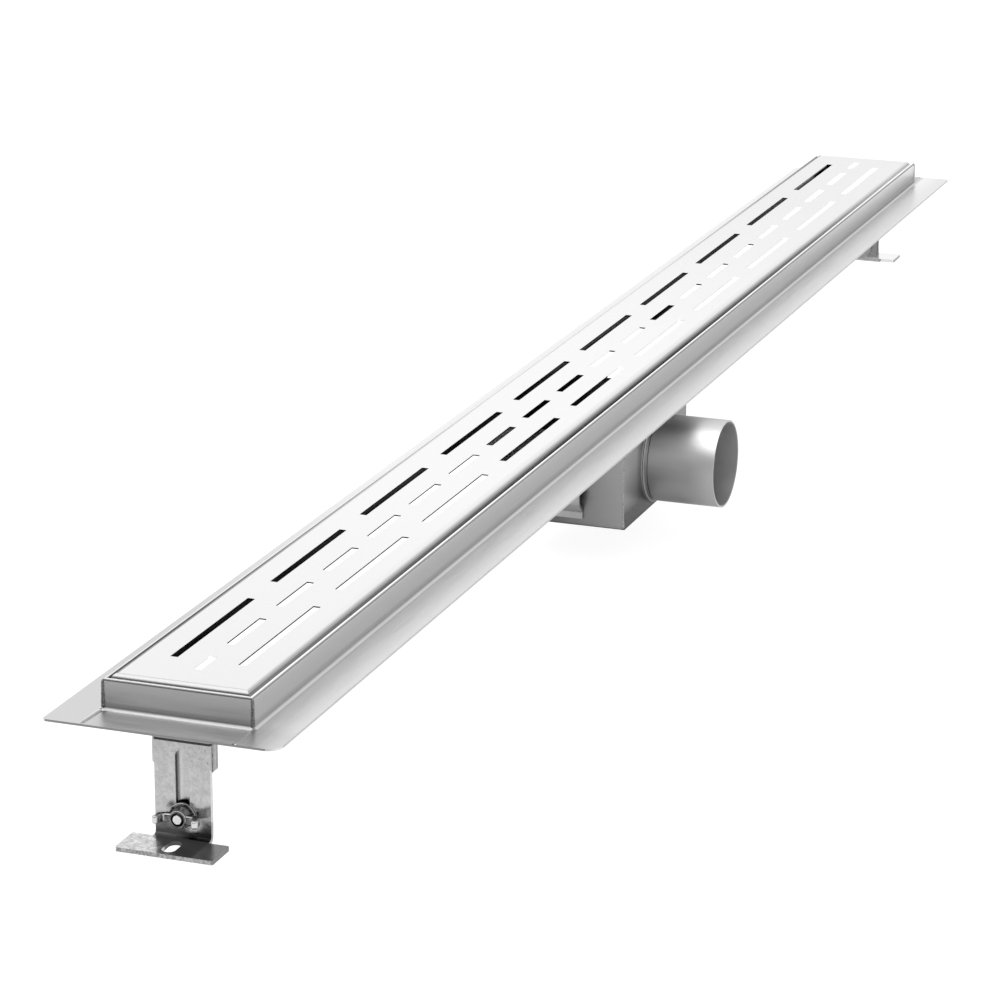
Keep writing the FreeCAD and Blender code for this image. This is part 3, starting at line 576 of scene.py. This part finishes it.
def foot_finish():
    """The feet: soles painted bright as painted light, with a painted dark reflection over part of the near
    one, and painted shade in the bends and on the slot walls.
    """
    finish = zinc_coat("foot_coat", 0.40, 0.56, 0.17)
    x, y, z = finish.along()
    away = finish.size(x)
    side = finish.size(y)
    near = finish.below(x, 0.0)
    sole = finish.both(finish.below(z, SOLE_TOP), finish.above(away, PLATE_FRONT + 0.0022))
    ragged = finish.maths("ADD", y, finish.maths("MULTIPLY_ADD", finish.noise(260.0, 3.0), 0.006, -0.003))
    # the edge of the painted dark reflection runs across the sole aslant, from beside the plate to the middle
    # of the toe
    edge_line = finish.maths("MULTIPLY_ADD", away, -DARK_REFLECTION_SLOPE, DARK_REFLECTION_FROM[1] + DARK_REFLECTION_SLOPE * DARK_REFLECTION_FROM[0])
    beyond = finish.maths("SUBTRACT", ragged, edge_line)
    dark_reflection = finish.both(sole, near, finish.spread(beyond, 0.0012, -0.0012))
    mottle = finish.spread(finish.noise(420.0, 5.0, roughness=0.75), 0.40, 0.62)
    lit_sole = finish.mix(mottle, 0.52, 0.86)
    # painted light on the soles outside the painted dark reflection, and the painted dark reflection on the
    # near sole, darker toward the right
    finish.paint(finish.both(sole, finish.no(dark_reflection)), lit_sole)
    finish.paint(finish.both(dark_reflection, 0.8), finish.mix(finish.spread(y, -0.0145, -0.0175), 0.34, 0.13))
    # painted light on the far sole, and painted shade on its side edges
    finish.paint(finish.both(sole, finish.no(near)), 0.92)
    far_edge = finish.both(finish.below(z, SOLE_TOP), finish.no(near),
                           finish.above(finish.size(finish.normal()[1]), 0.7))
    finish.paint(far_edge, 0.22)
    # painted shade in the bend at the plate's foot, and beside the plate over the painted dark reflection
    bend = finish.both(finish.spread(z, -0.0525, -0.0550), finish.above(away, PLATE_FRONT - 0.0002),
                       finish.above(z, -0.0566), finish.below(side, PLATE_SIDE), finish.no(sole))
    finish.paint(finish.either(bend, finish.both(dark_reflection, finish.above(y, -PLATE_SIDE))), 0.05)
    # the near plate's top edge lies in the flange's shadow
    finish.paint(finish.both(finish.between(z, -0.0122, -0.0110), near), 0.05)
    # painted shade on the slot's walls
    flat = finish.above(finish.size(finish.normal()[0]), 0.5)
    slot = finish.both(finish.no(flat), finish.below(side, SLOT_SIDE), finish.between(z, -0.0500, -0.0150))
    finish.paint(slot, 0.01)
    # painted light: a glow on the plate's side edges
    edge = finish.both(finish.above(finish.size(finish.normal()[1]), 0.8), finish.above(side, 0.0130),
                       finish.above(z, -0.0480), finish.below(z, -0.0126))
    toe = finish.both(finish.above(away, 0.5978), finish.below(z, SOLE_TOP))
    speckle = finish.noise(1500.0, 3.0, (1, 0.6, 0.4), 0.7)
    finish.paint(toe, finish.mix(finish.spread(speckle, 0.40, 0.60), 0.20, 0.42))
    # painted light: faint glows low on the near plate and on the soles
    low_left = finish.both(finish.spread(z, -0.0420, -0.0450), finish.spread(y, -0.004, 0.004),
                           finish.no(sole), near, 0.045)
    dark_reflection_glow = finish.both(dark_reflection, 0.028)
    far_glow = finish.both(sole, finish.no(near), finish.no(far_edge), 0.03)
    finish.glow(far_glow, finish.both(edge, 0.22), low_left, dark_reflection_glow)
    return finish.done()


def bracket_finish():
    """The brackets: painted shade on their edges, under the flange and over the whole far one, and on the
    near one a strip painted bright with a glow.
    """
    finish = zinc_coat("bracket_coat", 0.45, 0.58, 0.24)
    x, y, z = finish.along()
    # painted shade on the edges, over the whole far bracket and under the flange
    finish.paint(finish.above(finish.size(finish.normal()[1]), 0.5), 0.30)
    shade = finish.both(finish.above(z, -0.0104), finish.below(finish.size(x), 0.5790))
    finish.paint(finish.above(x, 0.0), 0.28)
    # painted light: on the near bracket the strip beside the slot's shaded wall is painted bright with a glow
    strip = finish.both(finish.spread(y, 0.0, 0.0022), finish.below(y, SLOT_SIDE),
                        finish.between(z, -0.0430, -0.0150), finish.below(x, 0.0))
    finish.glow(finish.both(strip, 0.12))
    finish.paint(strip, 0.54)
    finish.paint(shade, 0.01)
    return finish.done()


def bright_zinc():
    """Bolts, washers and wing nuts: flat faces painted dark as shade, with painted highlights on rims, pads
    and bolt ends.
    """
    finish = Finish("bright_zinc", metallic=1.0)
    bloom = finish.noise(700.0, 3.0)
    x, y, z = finish.along()
    away = finish.size(x)
    reach = finish.radius(y, finish.maths("ADD", z, BOLT_DEPTH))
    facing = finish.size(finish.normal()[0])
    finish.colour = finish.mix(finish.spread(bloom, 0.35, 0.65), 0.24, 0.36)
    # painted shade on the flat faces, less on the back of the far bolt and washer; painted highlights on
    # rims, pads, bolt ends and the washer's rim; a painted dark ring at the chamfer
    face = finish.above(facing, 0.93)
    finish.paint(face, finish.mix(finish.spread(bloom, 0.35, 0.65), 0.08, 0.20))
    finish.paint(finish.both(face, finish.between(x, *FAR_BACK)), 0.34)
    rims = finish.both(finish.between(facing, 0.25, 0.90), finish.no(finish.between(x, *FAR_BACK)))
    finish.paint(rims, 0.58)
    tip = finish.both(finish.above(reach, 0.0078), finish.above(away, 0.5830))
    bolt_end = finish.both(finish.below(reach, BOLT_CHAMFER), face)
    washer_rim = finish.both(finish.between(reach, 0.0058, 0.0061), finish.below(away, 0.5779))
    finish.paint(finish.either(tip, bolt_end, washer_rim), 0.66)
    chamfer = finish.both(finish.between(reach, BOLT_CHAMFER, 0.0032), finish.above(away, 0.5810))
    finish.paint(chamfer, 0.03)
    finish.roughness = finish.spread(bloom, 0.3, 0.7, 0.16, 0.28)
    return finish.done()


def moulded(name, level, roughness):
    """Dark plastic or rubber with a fine grain."""
    finish = Finish(name)
    finish.set(Specular_IOR_Level=0.2)
    grain = finish.noise(2500.0, 2.0)
    finish.bump(grain, 0.1, 0.0001)
    finish.colour = finish.mix(finish.spread(grain, 0.3, 0.7), level * 0.8, level * 1.2)
    finish.roughness = finish.spread(grain, 0.3, 0.7, roughness - 0.05, roughness + 0.05)
    return finish.done()


def dress_nodes():
    finishes = {
        "channel_steel": channel_finish(),
        "cap_steel": cap_finish(),
        "grate_steel": grate_finish(),
        "trap_steel": trap_finish(),
        "pipe_steel": pipe_finish(),
        "lug_steel": lug_finish(),
        "trap_plastic": moulded("trap_moulding", 0.005, 0.65),
        "gasket_rubber": moulded("seal_rubber", 0.012, 0.7),
        "bracket_zinc": bracket_finish(),
        "foot_zinc": foot_finish(),
        "fastener_zinc": bright_zinc(),
    }
    for part in frame["record"]["subparts"]:
        for place in NODES[part["node"]].material_slots:
            place.material = finishes[part["material_slot"]]


def add_piece(name, shape, finish, body="drain"):
    """Turn a closed shape into a smooth piece that rides on a body."""
    bmesh.ops.recalc_face_normals(shape, faces=shape.faces)
    mesh = bpy.data.meshes.new(name)
    shape.to_mesh(mesh)
    shape.free()
    mesh.materials.append(finish)
    for face in mesh.polygons:
        face.use_smooth = True
    piece = bpy.data.objects.new(name, mesh)
    bpy.context.scene.collection.objects.link(piece)
    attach(piece, body)


def weld_bead(name, start, end, radii, flatness, finish):
    """A rippled bead from start to end; flatness lowers its height, and heights are from the flange."""
    start = Vector(start) + Vector((0, 0, FLANGE_TOP))
    end = Vector(end) + Vector((0, 0, FLANGE_TOP))
    run = end - start
    shape = bmesh.new()
    bmesh.ops.create_cone(shape, cap_ends=True, segments=BEAD_SIDES, radius1=radii[0], radius2=radii[1],
                          depth=run.length)
    ripples = max(4, round(run.length / RIPPLE))
    long_edges = [edge for edge in shape.edges
                  if abs(edge.verts[0].co.z - edge.verts[1].co.z) > run.length / 2]
    bmesh.ops.subdivide_edges(shape, edges=long_edges, cuts=ripples - 1)
    for i in range(ripples + 1):
        height = run.length * (i / ripples - 0.5)
        ring = [vertex for vertex in shape.verts if abs(vertex.co.z - height) < run.length / ripples / 3]
        swell = 0.6 if i in (0, ripples) else 1.0 + 0.10 * math.sin(2.4 * i) + 0.05 * math.sin(5.1 * i)
        bmesh.ops.scale(shape, vec=(swell, swell * flatness, 1), verts=ring)
    # the flattened side of a level bead looks up
    side = run.normalized().cross(Vector((0, 0, 1)))
    if side.length < 0.5:
        side = Vector((1, 0, 0))
    turn = Matrix((side, run.normalized().cross(side), run.normalized())).transposed()
    bmesh.ops.rotate(shape, cent=(0, 0, 0), matrix=turn, verts=shape.verts)
    bmesh.ops.translate(shape, vec=(start + end) / 2, verts=shape.verts)
    add_piece(name, shape, finish)


def weld_seams():
    """Beads up the corners of the end caps and of the trap box, and along the joints of the flange."""
    bright = weld_finish("bright_weld", 0.45, 0.80)
    tinted = weld_finish("tinted_weld", 0.10, 0.30)
    ground = weld_finish("ground_weld", 0.26, 0.44)
    for end, end_name, corner_metal in ((-1, "near", tinted), (1, "far", bright)):
        for side, side_name in ((-1, "right"), (1, "left")):
            where = end_name + "_" + side_name
            corner = (end * (HALF_FRAME - CORNER_SINK), side * (HALF_WIDTH - CORNER_SINK))
            weld_bead(where + "_corner_weld", (*corner, 0.0012), (*corner, RIM_TOP - 0.0008),
                      CORNER_BEAD, 1.0, corner_metal)
            weld_bead(where + "_corner_foot_weld", (*corner, 0.0010), (*corner, 0.0034),
                      CORNER_FOOT_BEAD, 1.0, corner_metal)
            # the flange joint is ground almost level; on the left it runs out slightly
            drift = 0.0012 if side > 0 else 0.0
            weld_bead(where + "_flange_weld",
                      (end * (HALF_FRAME + 0.0016), side * (HALF_WIDTH + 0.0002), 0.0),
                      (end * (FLANGE_END - 0.0003), side * (HALF_WIDTH + drift), 0.0),
                      LEFT_JOINT_BEAD if side > 0 else RIGHT_JOINT_BEAD, GROUND_SHARE,
                      ground if side > 0 else bright)
        for side, side_name in ((-1, "outlet"), (1, "plain")):
            where = end_name + "_" + side_name
            edge = (end * (BOX_END - BOX_SINK), side * (BOX_SIDE - BOX_SINK))
            weld_bead(where + "_box_weld", (*edge, -BOX_UNDER + 0.0022), (*edge, -0.0012),
                      BOX_BEAD, 1.0, ground)
            weld_bead(where + "_box_foot_weld", (*edge, -BOX_UNDER + 0.0015), (*edge, -BOX_UNDER + 0.0080),
                      BOX_FOOT_BEAD, 1.0, ground)


def make_camera():
    """Look from where the photograph was taken."""
    forward = Vector(CAMERA_FORWARD).normalized()
    right = forward.cross(Vector(CAMERA_UP)).normalized()
    up = right.cross(forward)
    data = bpy.data.cameras.new("camera")
    data.lens = CAMERA_LENS
    data.sensor_width = 36.0
    data.clip_start = 0.01
    data.clip_end = 100.0
    camera = bpy.data.objects.new("camera", data)
    turn = Matrix((right, up, -forward)).transposed().to_4x4()
    camera.matrix_world = Matrix.Translation(CAMERA_PLACE) @ turn
    bpy.context.scene.collection.objects.link(camera)
    bpy.context.scene.camera = camera


def make_floor():
    """A floor just under the soles at their lowest: white to the camera, and dimmer in the metal."""
    shape = bmesh.new()
    bmesh.ops.create_grid(shape, x_segments=1, y_segments=1, size=20.0)
    bmesh.ops.translate(shape, vec=(0, 0, FLOOR_HEIGHT), verts=shape.verts)
    mesh = bpy.data.meshes.new("studio_floor")
    shape.to_mesh(mesh)
    shape.free()
    floor = bpy.data.objects.new("studio_floor", mesh)
    bpy.context.scene.collection.objects.link(floor)
    finish = Finish("floor_white")
    finish.set(Specular_IOR_Level=0.0)
    rays = finish.nodes.new("ShaderNodeLightPath").outputs
    camera = rays["Is Camera Ray"]
    metal = finish.either(rays["Is Glossy Ray"], rays["Is Transmission Ray"])
    # in the metal the floor is dimmer still in front of the drain, where the studio ends
    front = finish.spread(finish.axes()[0], *STUDIO_END, STUDIO_END_LEVEL, 1.0)
    level = finish.both(finish.spread(metal, 0.0, 1.0, ROOM_PALENESS, METAL_PALENESS),
                        finish.either(camera, front))
    finish.glow(finish.both(finish.either(finish.both(camera, CAMERA_GLOW), finish.both(metal, METAL_GLOW)),
                            finish.either(camera, front)))
    finish.colour = finish.mix(level, 0.0, 1.0)
    finish.roughness = 1.0
    mesh.materials.append(finish.done())


def make_lamp(name, place, target, size, power):
    data = bpy.data.lights.new(name, "AREA")
    data.shape = "RECTANGLE"
    data.size, data.size_y = size
    data.energy = power
    lamp = bpy.data.objects.new(name, data)
    lamp.location = place
    lamp.rotation_euler = (Vector(target) - Vector(place)).to_track_quat("-Z", "Y").to_euler()
    bpy.context.scene.collection.objects.link(lamp)


def make_light():
    """A soft studio: an even pale room, brighter far and above and dimmer near and on the right."""
    world = bpy.data.worlds.new("studio")
    bpy.context.scene.world = world
    world.use_nodes = True
    nodes = world.node_tree.nodes
    links = world.node_tree.links
    way = nodes.new("ShaderNodeTexCoord").outputs["Generated"]
    level = None
    for name, toward, inner, outer, change in SOFT_WALLS:
        facing = nodes.new("ShaderNodeVectorMath")
        facing.operation = "DOT_PRODUCT"
        facing.name = name
        links.new(way, facing.inputs[0])
        facing.inputs[1].default_value = Vector(toward).normalized()
        ramp = nodes.new("ShaderNodeMapRange")
        ramp.interpolation_type = "SMOOTHSTEP"
        links.new(facing.outputs["Value"], ramp.inputs["Value"])
        ramp.inputs["From Min"].default_value = math.cos(math.radians(outer))
        ramp.inputs["From Max"].default_value = math.cos(math.radians(inner))
        ramp.inputs["To Max"].default_value = change
        add = nodes.new("ShaderNodeMath")
        add.operation = "ADD"
        links.new(ramp.outputs[0], add.inputs[0])
        if level is None:
            add.inputs[1].default_value = ROOM_LEVEL
        else:
            links.new(level, add.inputs[1])
        level = add.outputs[0]
    background = nodes["Background"]
    background.inputs["Color"].default_value = (1, 1, 1, 1)
    links.new(level, background.inputs["Strength"])
    make_lamp("top_softbox", SOFTBOX_PLACE, (0, 0, 0), SOFTBOX_SIZE, SOFTBOX_POWER)


bpy.context.scene.view_settings.view_transform = "Standard"
make_camera()
make_floor()
make_light()
dress_nodes()
weld_seams()
